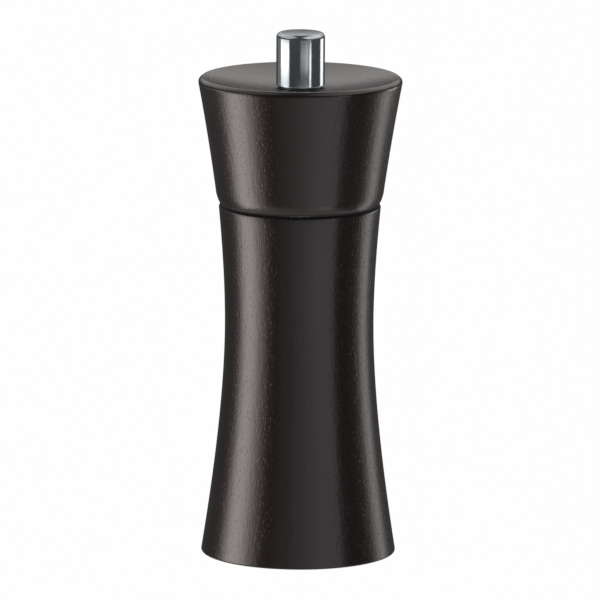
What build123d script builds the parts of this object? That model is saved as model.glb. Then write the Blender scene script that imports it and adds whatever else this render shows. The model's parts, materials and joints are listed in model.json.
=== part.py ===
# A hand-turned pepper mill, in millimetres. It stands on z = 0 with its turning axis on Z.
#
# A waisted wooden body holds the peppercorns. A wooden head with a dished top turns on it and drives a
# square shaft through a steel plate. The shaft's foot carries a ceramic cone, which turns inside a
# ceramic ring held in the base of the body. A steel knob on the shaft's threaded top pulls the cone up
# into the ring for a finer grind, and a spring pushes it back down. With the knob unscrewed, the head
# lifts off the shaft and the body can be filled.

import os
from math import radians, sin, sqrt, tan

from build123d import *

# ---- Turned wood: driving sizes -------------------------------------------------------------------
body_height = 94.0  # base to the joint with the head
head_height = 34.4  # joint to the rim's corner, before it is rounded
base_r = 26.0
waist_r = 19.8
waist_z = 62.0
shoulder_r = 21.6  # body at the joint
flank_low_z = 38.6  # where the flank's slope at the foot, drawn on, would reach the waist's radius
flank_high_z = 75.2  # the same, for its slope at the shoulder
base_round = 0.5
shoulder_round = 0.8

rim_r = 27.4  # the same corner
rim_round = 1.25
flank_foot_r = 22.25  # where the straight flank of the head ends, above its rounded foot
flank_sagitta = 0.2  # how far the head's flank bows in
foot_height = 3.0  # the rounded foot of the head
foot_r = 21.15
dish_depth = 3.25
land_r = 6.2  # flat land in the middle of the dish, for the knob's washer

hopper_r = 13.0
tenon_ledge = 2.0  # how much wider the head's tenon is than the hopper
tenon_length = 12.0
tenon_clearance = 0.3
tenon_chamfer = 0.8
socket_floor_gap = 1.0
slide_ring_t = 0.8  # wall and flange of the ring on which the head turns
slide_ring_flange = 3.2  # how far its flange reaches out over the wood
slide_ring_length = 8.0
slide_ring_clearance = 0.05
joint_relief = 0.25  # the head is cut back outside that ring, which shows as a fine dark line
head_bore_clearance = 0.83  # round the corners of the shaft

# ---- Square shaft, knob and adjustment ------------------------------------------------------------
shaft_side = 5.0
shaft_corner = 0.4
thread_length = 24.0
thread_engagement = 9.7  # of the shaft in the knob, at rest
thread_clearance = 0.05
lift_up = 0.35  # from rest to the finest setting
lift_down = 1.25  # from rest to the coarsest setting
slide_clearance = 0.05  # each side of the square, in the driver plate and the rotor core
running_clearance = 0.06  # round journals

knob_r = 6.45
knob_height = 14.1
knob_round = 1.3
knob_roof_gap = 1.6  # beyond the shaft's end, at rest
knob_washer_r = 5.7
knob_washer_t = 1.0
knob_washer_sunk = 0.4  # how much of it is let into the knob
lock_ring_t = 1.6  # ring that grips the thread, so that the setting holds
lock_ring_wall = 1.2

# ---- Driver plate ---------------------------------------------------------------------------------
plate_t = 1.5
plate_rim = 2.3  # of wood round the plate
plate_clearance = 0.2
plate_screw_inset = 3.7  # screw centres, in from the plate's edge

# ---- Grinder --------------------------------------------------------------------------------------
recess = 1.2  # the grinder's underside, above the surface that the mill stands on
bridge_t = 1.8
flange_t = 2.0
flange_overhang = 4.8  # how far the flange reaches past the housing's wall
housing_wall = 1.9
housing_clearance = 0.2
screw_inset = 2.4  # screw centres, in from the flange's edge
spoke_count = 3
spoke_width = 2.6
spoke_height = 3.0
first_spoke = 90.0  # degrees, for the spokes and the screws
hub_height = 4.0
hub_wall = 2.5
throat_lip = 1.6  # the housing's shoulder over the stator
throat_flare = 0.6

rotor_r = 10.6  # foot of the cone
rotor_height = 10.0
rotor_slope = 0.4  # radius gained per millimetre down the cone
finest_gap = 0.16  # between the burrs' fine teeth at the finest setting
stator_wall = 2.1  # at its foot
stator_height = 12.0
stator_fine_height = 6.0  # the stretch that runs parallel to the cone
stator_flare = 2.75  # from the end of the fine stretch to the mouth at the top
stator_clearance = 0.1
fine_teeth = 24
fine_tooth_depth = 0.55
coarse_teeth = 6
coarse_tooth_depth = 1.2
tooth_lean = 16.0  # degrees that the teeth lean round the cone

core_wall = 0.82  # outside the corners of its square hole
core_flange_r = 8.0
core_flange_t = 1.0
core_collar = 0.8  # above the spring's seat
core_stop_gap = 0.15  # between core and bridge at the coarsest setting
core_ceiling = 0.4  # left of the flange, over the screw's pocket
journal_wall = 1.0
journal_drop = 1.4  # how far the journal reaches down past the bridge's top
key_count = 3
key_width = 1.2
key_height = 0.8
key_clearance = 0.05

spring_length = 6.0  # at rest
spring_wire = 0.7
spring_turns = 4.5
spring_clearance = 0.4
washer_t = 0.5
seat_t = 0.4

# ---- Fasteners ------------------------------------------------------------------------------------
screw_shank_r = 1.15
screw_head_r = 2.1
screw_length = 10.0
screw_clearance = 0.15
pilot_clearance = 0.05
pilot_spare = 1.0  # of hole beyond a screw's point
screw_count = 3
recess_depth = 0.7  # of the cross in a screw's head
recess_width = 0.6
core_screw_r = 1.5
core_screw_length = 8.5
core_screw_head_r = 2.75
core_screw_head_t = 1.7
core_washer_reach = 0.9  # past the flats of the shaft
core_washer_t = 0.5
core_pocket_clearance = 0.2

# ---- Places that follow from them -----------------------------------------------------------------
joint_z = body_height
rim_z = joint_z + head_height
dish_z = rim_z - dish_depth
dish_radius = (rim_r * rim_r + dish_depth * dish_depth) / (2 * dish_depth)
land_z = dish_z + dish_radius - sqrt(dish_radius * dish_radius - land_r * land_r)
knob_z = land_z + knob_washer_t - knob_washer_sunk
knob_top_z = knob_z + knob_height
thread_top_z = knob_z + thread_engagement
square_top_z = thread_top_z - thread_length
thread_r = shaft_side / 2 - thread_clearance
shaft_corner_r = shaft_side / sqrt(2) - shaft_corner * (sqrt(2) - 1)

tenon_r = hopper_r + tenon_ledge
socket_r = tenon_r + tenon_clearance
slide_ring_r = socket_r + slide_ring_flange
tenon_z = joint_z - tenon_length
socket_floor_z = tenon_z - socket_floor_gap
plate_top_z = tenon_z + plate_t
plate_r = tenon_r - plate_rim - plate_clearance
plate_screw_circle_r = plate_r - plate_screw_inset
head_bore_r = shaft_corner_r + head_bore_clearance

bridge_top_z = recess + bridge_t
flange_top_z = bridge_top_z + flange_t
core_flange_z = bridge_top_z + lift_down + core_stop_gap
rotor_z = core_flange_z + core_flange_t
rotor_top_z = rotor_z + rotor_height
rotor_top_r = rotor_r - rotor_slope * rotor_height
seat_top_z = rotor_top_z + seat_t
spring_top_z = seat_top_z + spring_length
hub_z = spring_top_z + washer_t
housing_top_z = hub_z + hub_height

burr_gap = finest_gap + rotor_slope * lift_up
stator_foot_r = rotor_r + rotor_slope * (rotor_z - bridge_top_z) + burr_gap
stator_r = stator_foot_r + stator_wall
stator_waist_z = bridge_top_z + stator_fine_height
stator_waist_r = stator_foot_r - rotor_slope * stator_fine_height
stator_mouth_r = stator_waist_r + stator_flare
stator_top_z = bridge_top_z + stator_height
stator_seat_r = stator_r + stator_clearance
stator_seat_z = stator_top_z + stator_clearance
throat_r = stator_r - throat_lip
funnel_r = throat_r + throat_flare
housing_r = stator_seat_r + housing_wall
pocket_r = housing_r + housing_clearance
flange_r = housing_r + flange_overhang
flange_pocket_r = flange_r + housing_clearance
screw_circle_r = flange_r - screw_inset
bridge_ring_r = stator_foot_r + stator_wall / 2

square_hole = shaft_side + 2 * slide_clearance
core_washer_r = shaft_side / 2 + core_washer_reach
core_r = square_hole / sqrt(2) - shaft_corner * (sqrt(2) - 1) + core_wall
core_pocket_r = core_washer_r + core_pocket_clearance
core_pocket_z = rotor_z - core_ceiling
journal_r = core_pocket_r + journal_wall
journal_z = bridge_top_z - journal_drop
shaft_z = core_pocket_z
spring_r = core_r + spring_clearance + spring_wire / 2  # to the middle of the wire
hub_bore_r = shaft_corner_r + running_clearance
hub_r = hub_bore_r + hub_wall


# ---- Shapes used more than once -------------------------------------------------------------------
# Rounded square on the XY plane: the shaft's section, or with a larger side the hole for it.
def square(side):
    return RectangleRounded(side, side, shaft_corner)


# Cone-headed wood screw, pointing up, with the flat of its head on z = 0.
with BuildPart() as wood_screw:
    with BuildSketch(Plane.XZ):
        with BuildLine():
            head_depth = screw_head_r - screw_shank_r
            Polyline(
                (0, 0),
                (screw_head_r, 0),
                (screw_shank_r, head_depth),
                (screw_shank_r, screw_length - screw_shank_r),
                (0, screw_length),
                (0, 0),
            )
        make_face()
    revolve(axis=Axis.Z)
    with BuildSketch(Plane.XY):
        for turn in (0, 90):
            Rectangle(screw_head_r, recess_width, rotation=turn)
    extrude(amount=recess_depth, mode=Mode.SUBTRACT)

# The room that such a screw takes in the sheet it holds: a countersunk clearance hole.
with BuildPart() as screw_room:
    with BuildSketch(Plane.XZ):
        with BuildLine():
            hole_r = screw_shank_r + screw_clearance
            mouth_r = screw_head_r + screw_clearance
            Polyline(
                (0, 0),
                (mouth_r, 0),
                (hole_r, mouth_r - hole_r),
                (hole_r, screw_length),
                (0, screw_length),
                (0, 0),
            )
        make_face()
    revolve(axis=Axis.Z)


# The round edges of a turned piece that run round its axis.
def circles(piece):
    return piece.edges().filter_by(GeomType.CIRCLE).filter_by(Plane.XY)


# A straight V-shaped cutter that follows the line from start to end and cuts to the given depth.
def vee_cutter(start, end, depth, width):
    line = Vector(*end) - Vector(*start)
    plane = Plane(origin=start, z_dir=line, x_dir=Vector(0, 0, 1).cross(line))
    with BuildPart() as cutter:
        with BuildSketch(plane):
            with BuildLine():
                Polyline((-width, 0), (0, -depth), (width, 0), (0, depth), (-width, 0))
            make_face()
        extrude(amount=line.length)
    return cutter.part


# A point on the lean line of a tooth: radius r at height z, turned as far round as the lean takes it.
def lean_point(r, z, middle_z):
    aside = (z - middle_z) * tan(radians(tooth_lean))
    return (sqrt(r * r - aside * aside), aside, z)


# ---- Body -----------------------------------------------------------------------------------------
with BuildPart() as mill_body:
    with BuildSketch(Plane.XZ):
        with BuildLine():
            Bezier((base_r, 0), (waist_r, flank_low_z), (waist_r, waist_z))
            Bezier((waist_r, waist_z), (waist_r, flank_high_z), (shoulder_r, joint_z))
            Polyline(
                (shoulder_r, joint_z),
                (slide_ring_r + slide_ring_clearance, joint_z),
                (slide_ring_r + slide_ring_clearance, joint_z - slide_ring_t),
                (socket_r + slide_ring_t + slide_ring_clearance, joint_z - slide_ring_t),
                (socket_r + slide_ring_t + slide_ring_clearance, joint_z - slide_ring_length),
                (socket_r, joint_z - slide_ring_length),
                (socket_r, socket_floor_z),
                (hopper_r, socket_floor_z),
                (hopper_r, housing_top_z),
                (pocket_r, housing_top_z),
                (pocket_r, flange_top_z),
                (flange_pocket_r, flange_top_z),
                (flange_pocket_r, 0),
                (base_r, 0),
            )
        make_face()
    revolve(axis=Axis.Z)
    rim_wall = shoulder_r - slide_ring_r - slide_ring_clearance
    shoulder_edge = circles(mill_body).group_by(Axis.Z)[-1].sort_by(SortBy.RADIUS)[-1]
    fillet(shoulder_edge, min(shoulder_round, rim_wall / 2))
    fillet(circles(mill_body).group_by(Axis.Z)[0].sort_by(SortBy.RADIUS)[-1], base_round)
    with BuildSketch(Plane.XY.offset(flange_top_z)):
        with PolarLocations(screw_circle_r, screw_count, start_angle=first_spoke):
            Circle(screw_shank_r + pilot_clearance)
    extrude(amount=screw_length - bridge_t - flange_t + pilot_spare, mode=Mode.SUBTRACT)

# ---- Ring let into the body's mouth, on which the head turns --------------------------------------
with BuildPart() as slide_ring:
    with BuildSketch(Plane.XZ):
        with BuildLine():
            Polyline(
                (socket_r, joint_z - slide_ring_length),
                (socket_r + slide_ring_t, joint_z - slide_ring_length),
                (socket_r + slide_ring_t, joint_z - slide_ring_t),
                (slide_ring_r, joint_z - slide_ring_t),
                (slide_ring_r, joint_z),
                (socket_r, joint_z),
                (socket_r, joint_z - slide_ring_length),
            )
        make_face()
    revolve(axis=Axis.Z)
    chamfer(circles(slide_ring).group_by(Axis.Z)[-1].sort_by(SortBy.RADIUS)[0], slide_ring_t / 2)

# ---- Head -----------------------------------------------------------------------------------------
with BuildPart() as head:
    with BuildSketch(Plane.XZ):
        with BuildLine():
            flank_foot = (flank_foot_r, joint_z + foot_height)
            flank = SagittaArc((rim_r, rim_z), flank_foot, -flank_sagitta)
            TangentArc(flank_foot, (foot_r, joint_z + joint_relief), tangent=flank % 1)
            Polyline(
                (foot_r, joint_z + joint_relief),
                (slide_ring_r, joint_z + joint_relief),
                (slide_ring_r, joint_z),
                (tenon_r, joint_z),
                (tenon_r, tenon_z),
                (plate_r + plate_clearance, tenon_z),
                (plate_r + plate_clearance, plate_top_z),
                (head_bore_r, plate_top_z),
                (head_bore_r, land_z),
                (land_r, land_z),
            )
            RadiusArc((land_r, land_z), (rim_r, rim_z), -dish_radius)
        make_face()
    revolve(axis=Axis.Z)
    fillet(circles(head).sort_by(SortBy.RADIUS)[-1], rim_round)
    chamfer(circles(head).group_by(Axis.Z)[0].sort_by(SortBy.RADIUS)[-1], tenon_chamfer)
    with BuildSketch(Plane.XY.offset(plate_top_z)):
        with PolarLocations(plate_screw_circle_r, screw_count, start_angle=first_spoke):
            Circle(screw_shank_r + pilot_clearance)
    extrude(amount=screw_length - plate_t + pilot_spare, mode=Mode.SUBTRACT)

# ---- Driver plate, let into the end of the tenon --------------------------------------------------
with BuildPart() as driver_plate:
    with BuildSketch(Plane.XY.offset(tenon_z)):
        Circle(plate_r)
        add(square(square_hole), mode=Mode.SUBTRACT)
    extrude(amount=plate_t)
    with Locations((0, 0, tenon_z)):
        with PolarLocations(plate_screw_circle_r, screw_count, start_angle=first_spoke):
            add(screw_room.part, mode=Mode.SUBTRACT)

with BuildPart() as driver_screws:
    with Locations((0, 0, tenon_z)):
        with PolarLocations(plate_screw_circle_r, screw_count, start_angle=first_spoke):
            add(wood_screw.part)

# ---- Knob and its washer --------------------------------------------------------------------------
with BuildPart() as adjuster_knob:
    with BuildSketch(Plane.XY.offset(knob_z)):
        Circle(knob_r)
    extrude(amount=knob_height)
    fillet(adjuster_knob.edges().group_by(Axis.Z)[-1], knob_round)
    chamfer(adjuster_knob.edges().group_by(Axis.Z)[0], 0.2)
    with BuildSketch(Plane.XY.offset(knob_z)):
        Circle(knob_washer_r + running_clearance)
    extrude(amount=knob_washer_sunk, mode=Mode.SUBTRACT)
    with BuildSketch(Plane.XY.offset(knob_z)):
        Circle(shaft_side / 2)
    extrude(amount=thread_engagement + knob_roof_gap, mode=Mode.SUBTRACT)
    with BuildSketch(Plane.XY.offset(knob_z + knob_washer_sunk)):
        Circle(shaft_side / 2 + lock_ring_wall)
    extrude(amount=lock_ring_t, mode=Mode.SUBTRACT)

with BuildPart() as lock_ring:
    with BuildSketch(Plane.XY.offset(knob_z + knob_washer_sunk)):
        Circle(shaft_side / 2 + lock_ring_wall)
        Circle(shaft_side / 2, mode=Mode.SUBTRACT)
    extrude(amount=lock_ring_t)

with BuildPart() as knob_washer:
    with BuildSketch(Plane.XY.offset(land_z)):
        Circle(knob_washer_r)
        Circle(shaft_side / 2 + screw_clearance, mode=Mode.SUBTRACT)
    extrude(amount=knob_washer_t)

# ---- Square shaft, turned round and threaded at its top -------------------------------------------
with BuildPart() as drive_shaft:
    with BuildSketch(Plane.XY.offset(shaft_z)):
        add(square(shaft_side))
    extrude(amount=square_top_z - shaft_z)
    with BuildSketch(Plane.XY.offset(square_top_z)):
        Circle(thread_r)
    extrude(amount=thread_length)
    chamfer(drive_shaft.edges().group_by(Axis.Z)[-1], 0.5)
    with BuildSketch(Plane.XY.offset(shaft_z)):
        Circle(core_screw_r + pilot_clearance)
    extrude(amount=core_screw_length + pilot_spare, mode=Mode.SUBTRACT)

# ---- Rotor core: carries the ceramic cone on the shaft --------------------------------------------
with BuildPart() as rotor_core:
    with BuildSketch(Plane.XY.offset(journal_z)):
        Circle(journal_r)
    extrude(amount=core_flange_z - journal_z)
    with BuildSketch(Plane.XY.offset(core_flange_z)):
        Circle(core_flange_r)
    extrude(amount=core_flange_t)
    with BuildSketch(Plane.XY.offset(rotor_z)):
        Circle(core_r)
    extrude(amount=rotor_height + seat_t + core_collar)
    with BuildSketch(Plane.XY.offset(rotor_z)):
        with PolarLocations(core_r, key_count, start_angle=-first_spoke):
            Rectangle(2 * key_height, key_width)
    extrude(amount=rotor_height)
    with BuildSketch(Plane.XY.offset(journal_z)):
        Circle(core_pocket_r)
    extrude(amount=core_pocket_z - journal_z, mode=Mode.SUBTRACT)
    with BuildSketch(Plane.XY.offset(core_pocket_z)):
        add(square(square_hole))
    extrude(amount=rotor_height + core_ceiling + seat_t + core_collar, mode=Mode.SUBTRACT)

# ---- Ceramic cone ---------------------------------------------------------------------------------
# Small teeth stand round its lower half, and a few deep ones draw the peppercorns down from the top.
fine_top_z = rotor_z + 0.45 * rotor_height
fine_middle_z = (rotor_z + fine_top_z) / 2


def cone_r(z):
    return rotor_r - rotor_slope * (z - rotor_z)


fine_cutter = vee_cutter(
    lean_point(cone_r(rotor_z - 1), rotor_z - 1, fine_middle_z),
    lean_point(cone_r(fine_top_z) + 0.3, fine_top_z, fine_middle_z),
    fine_tooth_depth,
    fine_tooth_depth * 1.5,
)
coarse_foot_z = rotor_z + 0.3 * rotor_height
coarse_cutter = vee_cutter(
    lean_point(cone_r(coarse_foot_z) + 0.6, coarse_foot_z, rotor_top_z),
    lean_point(cone_r(rotor_top_z + 1), rotor_top_z + 1, rotor_top_z),
    coarse_tooth_depth,
    coarse_tooth_depth * 1.6,
)

with BuildPart() as rotor_cone:
    with BuildSketch(Plane.XZ):
        with BuildLine():
            bore_r = core_r + key_clearance
            Polyline(
                (bore_r, rotor_z),
                (rotor_r, rotor_z),
                (rotor_top_r, rotor_top_z),
                (bore_r, rotor_top_z),
                (bore_r, rotor_z),
            )
        make_face()
    revolve(axis=Axis.Z)
    with BuildSketch(Plane.XY.offset(rotor_z)):
        with PolarLocations(core_r, key_count, start_angle=-first_spoke):
            Rectangle(2 * (key_height + key_clearance), key_width + 2 * key_clearance)
    extrude(amount=rotor_height, mode=Mode.SUBTRACT)
    with PolarLocations(0, fine_teeth):
        add(fine_cutter, mode=Mode.SUBTRACT)
    with PolarLocations(0, coarse_teeth):
        add(coarse_cutter, mode=Mode.SUBTRACT)

# ---- Ceramic ring ---------------------------------------------------------------------------------
ring_fine_z = (bridge_top_z + stator_waist_z) / 2
ring_fine_cutter = vee_cutter(
    lean_point(stator_foot_r + rotor_slope, bridge_top_z - 1, ring_fine_z),
    lean_point(stator_waist_r - 0.3, stator_waist_z + 0.5, ring_fine_z),
    fine_tooth_depth,
    fine_tooth_depth * 1.5,
)
ring_coarse_cutter = vee_cutter(
    lean_point(stator_waist_r - 0.6, stator_waist_z - 1, stator_top_z),
    lean_point(stator_mouth_r + 0.1, stator_top_z + 0.5, stator_top_z),
    coarse_tooth_depth,
    coarse_tooth_depth * 1.4,
)
rib_r = 1.1

with BuildPart() as stator_ring:
    with BuildSketch(Plane.XZ):
        with BuildLine():
            Polyline(
                (stator_foot_r, bridge_top_z),
                (stator_r, bridge_top_z),
                (stator_r, stator_top_z),
                (stator_mouth_r, stator_top_z),
                (stator_waist_r, stator_waist_z),
                (stator_foot_r, bridge_top_z),
            )
        make_face()
    revolve(axis=Axis.Z)
    with PolarLocations(0, fine_teeth):
        add(ring_fine_cutter, mode=Mode.SUBTRACT)
    with PolarLocations(0, coarse_teeth):
        add(ring_coarse_cutter, mode=Mode.SUBTRACT)
    with BuildSketch(Plane.XY.offset(bridge_top_z)):
        with PolarLocations(stator_seat_r, key_count, start_angle=-first_spoke):
            Circle(rib_r + stator_clearance)
    extrude(amount=stator_height, mode=Mode.SUBTRACT)

# ---- Housing that holds the ring in the body ------------------------------------------------------
with BuildPart() as grinder_housing:
    with BuildSketch(Plane.XZ):
        with BuildLine():
            Polyline(
                (stator_seat_r, bridge_top_z),
                (flange_r, bridge_top_z),
                (flange_r, flange_top_z),
                (housing_r, flange_top_z),
                (housing_r, housing_top_z),
                (funnel_r, housing_top_z),
                (throat_r, housing_top_z - spoke_height),
                (throat_r, stator_seat_z),
                (stator_seat_r, stator_seat_z),
                (stator_seat_r, bridge_top_z),
            )
        make_face()
    revolve(axis=Axis.Z)
    with BuildSketch(Plane.XY.offset(hub_z)):
        Circle(hub_r)
    extrude(amount=hub_height)
    with BuildSketch(Plane.XY.offset(housing_top_z - spoke_height)):
        with PolarLocations(throat_r / 2 + hub_r / 2, spoke_count, start_angle=first_spoke):
            Rectangle(throat_r - hub_r + 2, spoke_width)
    extrude(amount=spoke_height)
    with BuildSketch(Plane.XY.offset(bridge_top_z)):
        with PolarLocations(stator_seat_r, key_count, start_angle=-first_spoke):
            Circle(rib_r)
    extrude(amount=stator_height)
    with BuildSketch(Plane.XY.offset(hub_z)):
        Circle(hub_bore_r)
    extrude(amount=hub_height, mode=Mode.SUBTRACT)
    with BuildSketch(Plane.XY.offset(bridge_top_z)):
        with PolarLocations(screw_circle_r, screw_count, start_angle=first_spoke):
            Circle(screw_shank_r + screw_clearance)
    extrude(amount=flange_t, mode=Mode.SUBTRACT)

# ---- Bridge across the underside: keeps the ring in and guides the core's journal -----------------
with BuildPart() as bottom_bridge:
    with BuildSketch(Plane.XY.offset(recess)):
        Circle(flange_r)
        Circle(bridge_ring_r, mode=Mode.SUBTRACT)
        with PolarLocations(bridge_ring_r / 2 + journal_r / 2, spoke_count, start_angle=first_spoke):
            Rectangle(bridge_ring_r - journal_r, spoke_width)
        Circle(journal_r + running_clearance + hub_wall - 0.4)
        Circle(journal_r + running_clearance, mode=Mode.SUBTRACT)
    extrude(amount=bridge_t)
    with Locations((0, 0, recess)):
        with PolarLocations(screw_circle_r, screw_count, start_angle=first_spoke):
            add(screw_room.part, mode=Mode.SUBTRACT)

with BuildPart() as housing_screws:
    with Locations((0, 0, recess)):
        with PolarLocations(screw_circle_r, screw_count, start_angle=first_spoke):
            add(wood_screw.part)

# ---- Spring and the washers at its ends -----------------------------------------------------------
with BuildPart() as thrust_washer:
    with BuildSketch(Plane.XY.offset(spring_top_z)):
        Circle(hub_r - 0.2)
        Circle(hub_bore_r + screw_clearance, mode=Mode.SUBTRACT)
    extrude(amount=washer_t)

with BuildPart() as spring_seat:
    with BuildSketch(Plane.XY.offset(rotor_top_z)):
        Circle(rotor_top_r - 0.3)
        Circle(core_r + screw_clearance, mode=Mode.SUBTRACT)
    extrude(amount=seat_t)

# The coil runs past both ends of the spring and is then ground flat there.
with BuildPart() as rotor_spring:
    coil_pitch = spring_length / spring_turns
    with BuildLine() as coil:
        Helix(coil_pitch, spring_length, spring_r, center=(0, 0, seat_top_z))
    with BuildSketch(Plane(origin=coil.line @ 0, z_dir=coil.line % 0)):
        Circle(spring_wire / 2)
    sweep(is_frenet=True)
    with BuildSketch(Plane.XY.offset(seat_top_z)):
        Circle(spring_r + spring_wire)
    extrude(amount=spring_length, mode=Mode.INTERSECT)

# ---- Washer and screw that hold the core on the shaft ---------------------------------------------
with BuildPart() as core_washer:
    with BuildSketch(Plane.XY.offset(core_pocket_z - core_washer_t)):
        Circle(core_washer_r)
        Circle(core_screw_r + screw_clearance, mode=Mode.SUBTRACT)
    extrude(amount=core_washer_t)

with BuildPart() as core_screw:
    head_z = core_pocket_z - core_washer_t - core_screw_head_t
    with BuildSketch(Plane.XY.offset(head_z)):
        Circle(core_screw_head_r)
    extrude(amount=core_screw_head_t)
    fillet(core_screw.edges().group_by(Axis.Z)[0], 0.5)
    with BuildSketch(Plane.XY.offset(head_z + core_screw_head_t)):
        Circle(core_screw_r)
    extrude(amount=core_washer_t + core_screw_length)
    with BuildSketch(Plane.XY.offset(head_z)):
        for turn in (0, 90):
            Rectangle(core_screw_head_r * 1.2, recess_width, rotation=turn)
    extrude(amount=recess_depth + 0.3, mode=Mode.SUBTRACT)

# ---- One STEP file for each sub-part --------------------------------------------------------------
sub_parts = {
    "mill_body": mill_body,
    "slide_ring": slide_ring,
    "grinder_housing": grinder_housing,
    "stator_ring": stator_ring,
    "bottom_bridge": bottom_bridge,
    "housing_screws": housing_screws,
    "thrust_washer": thrust_washer,
    "rotor_spring": rotor_spring,
    "spring_seat": spring_seat,
    "drive_shaft": drive_shaft,
    "rotor_core": rotor_core,
    "rotor_cone": rotor_cone,
    "core_washer": core_washer,
    "core_screw": core_screw,
    "head": head,
    "driver_plate": driver_plate,
    "driver_screws": driver_screws,
    "knob_washer": knob_washer,
    "adjuster_knob": adjuster_knob,
    "lock_ring": lock_ring,
}

os.makedirs("parts", exist_ok=True)
for name, sub_part in sub_parts.items():
    sub_part.part.label = name
    export_step(sub_part.part, f"parts/{name}.step")
print("overall height", round(knob_top_z, 2), "widest", round(2 * rim_r, 2))
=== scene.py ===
# %% [markdown]
# # A turned wooden pepper mill
#
# This lesson builds the looks of a hand-turned pepper mill round its finished design. The design is
# already packed: every part has its size and place, and every moving body has its joint. What is left
# for Blender is what the eye sees: wood turned on a lathe, stained dark and lacquered, a polished steel
# knob, threads, a coiled spring, ceramic burrs, and the light that shows them.
#
# The first cell loads the design. Everything is in metres, with the mill's axis on Z and its foot on
# z = 0, so a size in millimetres is written as a number times `mm`.

# %% Load the design
import json
import math

import bmesh
import bpy
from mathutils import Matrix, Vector

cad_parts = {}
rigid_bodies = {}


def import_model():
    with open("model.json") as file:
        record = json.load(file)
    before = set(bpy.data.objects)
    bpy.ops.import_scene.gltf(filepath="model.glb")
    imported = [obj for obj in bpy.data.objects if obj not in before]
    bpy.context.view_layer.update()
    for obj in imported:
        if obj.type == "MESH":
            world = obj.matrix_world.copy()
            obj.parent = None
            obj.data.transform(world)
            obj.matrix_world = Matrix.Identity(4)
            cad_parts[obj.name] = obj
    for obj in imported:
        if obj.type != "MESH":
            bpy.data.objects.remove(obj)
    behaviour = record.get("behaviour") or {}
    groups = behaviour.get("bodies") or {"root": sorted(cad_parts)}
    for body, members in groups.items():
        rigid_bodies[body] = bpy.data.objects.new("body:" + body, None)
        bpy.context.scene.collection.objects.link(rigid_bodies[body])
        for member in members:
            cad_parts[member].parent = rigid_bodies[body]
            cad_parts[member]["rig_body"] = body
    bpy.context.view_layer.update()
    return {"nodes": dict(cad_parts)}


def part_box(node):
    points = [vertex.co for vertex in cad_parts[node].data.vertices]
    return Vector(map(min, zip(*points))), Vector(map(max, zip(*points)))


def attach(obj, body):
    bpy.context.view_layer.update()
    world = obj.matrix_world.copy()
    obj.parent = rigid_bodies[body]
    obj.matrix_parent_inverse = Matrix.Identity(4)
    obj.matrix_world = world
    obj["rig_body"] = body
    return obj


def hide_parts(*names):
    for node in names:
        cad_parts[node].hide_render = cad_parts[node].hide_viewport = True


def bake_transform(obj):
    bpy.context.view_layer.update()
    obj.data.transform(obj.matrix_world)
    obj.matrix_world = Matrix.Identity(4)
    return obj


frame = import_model()
scene = bpy.context.scene
mm = 0.001

# %% [markdown]
# ## Two helpers
#
# Both Geometry Nodes and materials are node trees. In the editor a node is added, its settings are
# picked and its sockets are wired by hand. `put` does the same in one call: each input is given either
# the socket that feeds it or a plain value. `calc` does it for the Math node, which is used the most.

# %% Helpers for node trees
def put(tree, kind, inputs=None, **settings):
    node = tree.nodes.new(kind)
    for setting, value in settings.items():
        setattr(node, setting, value)
    for key, value in (inputs or {}).items():
        if isinstance(value, bpy.types.NodeSocket):
            tree.links.new(value, node.inputs[key])
        else:
            node.inputs[key].default_value = value
    return node


def calc(tree, operation, *values):
    return put(tree, "ShaderNodeMath", dict(enumerate(values)), operation=operation).outputs[0]


# %% [markdown]
# ## A lathe made of nodes
#
# Most of the mill is turned, so one lathe serves for all of it. A turned piece could be made with the
# Screw modifier, or with Spin in mesh code, but a small node tree can do three things at once: it rounds
# the corners of the outline, carries it round the axis, and cuts a thread where one is wanted.
#
# The trick is Curve to Mesh. Its path is a circle round the axis, and its profile is the outline of the
# piece, moved in by the circle's own radius. Each point of the outline then goes round at just its own
# radius. Fillet Curve rounds each corner by the point's own `rounding`. An outline that starts and ends
# on the axis gives many points in one place at each pole, so Merge by Distance closes them. Corners that
# stay crisp are marked sharp by their angle.
#
# A thread is the same surface pushed in and out: the share of a turn is taken away from the share of a
# pitch, and what is left after the whole turns is the place across one ridge. Points with `thread` 1 are
# moved, and points with 0 aren't. Since a nut and its bolt use the same formula, they always mesh.

# %% The lathe's node tree
def new_tree(name, sizes):
    tree = bpy.data.node_groups.new(name, "GeometryNodeTree")
    tree.interface.new_socket("Geometry", in_out="INPUT", socket_type="NodeSocketGeometry")
    for label, value in sizes.items():
        kind = "NodeSocketInt" if isinstance(value, int) else "NodeSocketFloat"
        tree.interface.new_socket(label, in_out="INPUT", socket_type=kind).default_value = value
    tree.interface.new_socket("Material", in_out="INPUT", socket_type="NodeSocketMaterial")
    tree.interface.new_socket("Geometry", in_out="OUTPUT", socket_type="NodeSocketGeometry")
    return tree, put(tree, "NodeGroupInput").outputs


def named(tree, attribute):
    return put(tree, "GeometryNodeInputNamedAttribute", {"Name": attribute}).outputs["Attribute"]


def end_tree(tree, geometry, material):
    real = put(tree, "GeometryNodeRealizeInstances", {"Geometry": geometry})
    coated = put(tree, "GeometryNodeSetMaterial", {"Geometry": real.outputs[0], "Material": material})
    put(tree, "NodeGroupOutput", {"Geometry": coated.outputs[0]})


lathe_sizes = {
    "Sides": 128,
    "Fillet Steps": 5,
    "Thread Pitch": 0.8 * mm,
    "Thread Depth": 0.4 * mm,
    "Crease Angle": math.radians(38),
}
lathe, given = new_tree("lathe", lathe_sizes)
guide_r = 10 * mm

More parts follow.
